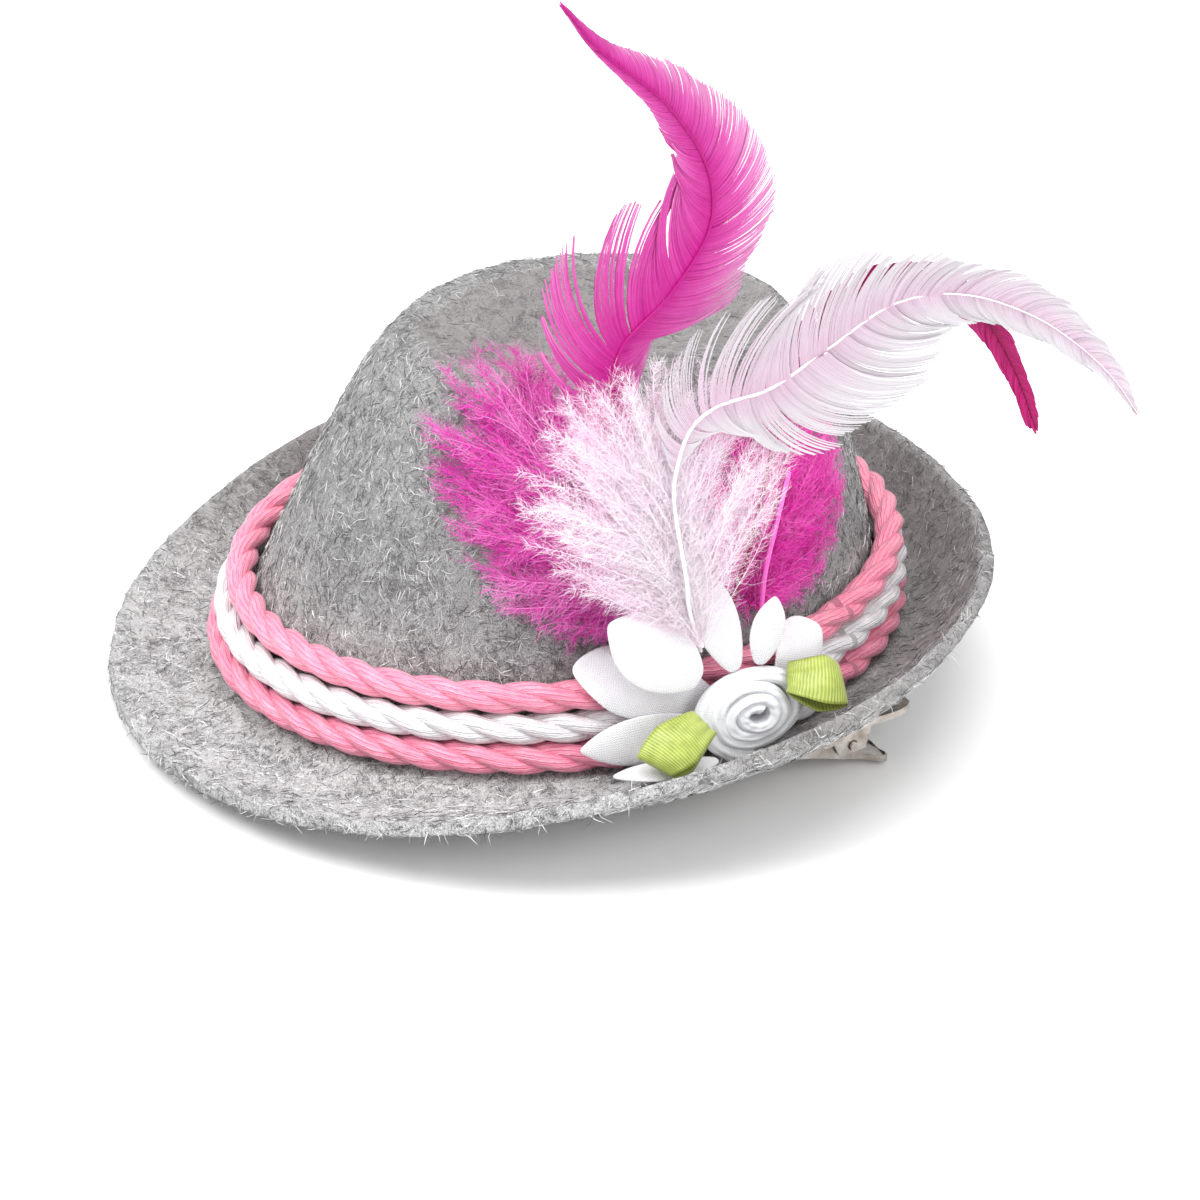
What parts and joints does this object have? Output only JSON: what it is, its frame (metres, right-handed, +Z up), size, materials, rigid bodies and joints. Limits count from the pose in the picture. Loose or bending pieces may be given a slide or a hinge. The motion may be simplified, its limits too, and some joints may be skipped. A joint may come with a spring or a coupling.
{
  "type": "tyrolean hat",
  "caption": "Small felt tyrolean hat on an alligator hair clip, with a creased crown, a brim turned up at the back, twisted cords, a fabric flower and a plume of feathers.",
  "frame": {"origin": "centre of the bounding box's underside, on the table that the hat rests on", "axes": "+Z up, -Y towards the hat's front, +X towards its trimmed left side"},
  "size_m": [0.1492, 0.171, 0.1487],
  "materials": {
    "felt": "matt pressed wool felt, mottled light grey",
    "cord_pink": "satin twisted cord",
    "cord_white": "satin twisted cord",
    "petal_cloth": "woven cloth",
    "rose_ribbon": "satin ribbon",
    "leaf_ribbon": "ribbed satin ribbon",
    "feather_magenta": "dyed feather",
    "feather_white": "white feather",
    "down_magenta": "dyed down",
    "down_white": "white down",
    "clip_steel": "bright pressed steel"
  },
  "bodies": {
    "hat": {"felt_body": "felt", "cord_lower": "cord_pink", "cord_middle": "cord_white", "cord_upper": "cord_pink", "petal_1": "petal_cloth", "petal_2": "petal_cloth", "petal_3": "petal_cloth", "petal_4": "petal_cloth", "petal_5": "petal_cloth", "petal_6": "petal_cloth", "petal_7": "petal_cloth", "petal_8": "petal_cloth", "rose": "rose_ribbon", "leaf_left": "leaf_ribbon", "leaf_right": "leaf_ribbon", "feather_magenta": "feather_magenta", "feather_white": "feather_white", "feather_rear": "feather_magenta", "down_left": "down_magenta", "down_right": "down_magenta", "down_white": "down_white", "clip_upper_jaw": "clip_steel", "clip_pin": "clip_steel", "clip_spring": "clip_steel"},
    "clip_jaw": {"clip_lower_jaw": "clip_steel"}
  },
  "joints": [
    {"name": "clip_hinge", "type": "hinge", "parent": "hat", "child": "clip_jaw", "pos_m": [0.04849, 0.03097, 0.00627], "axis": [0.9836, 0.1673, 0.0674], "range_deg": [0, 24], "stiffness_Nm_per_rad": 0.06, "springref_deg": -34.38, "deforming": ["clip_spring"]}
  ]
}
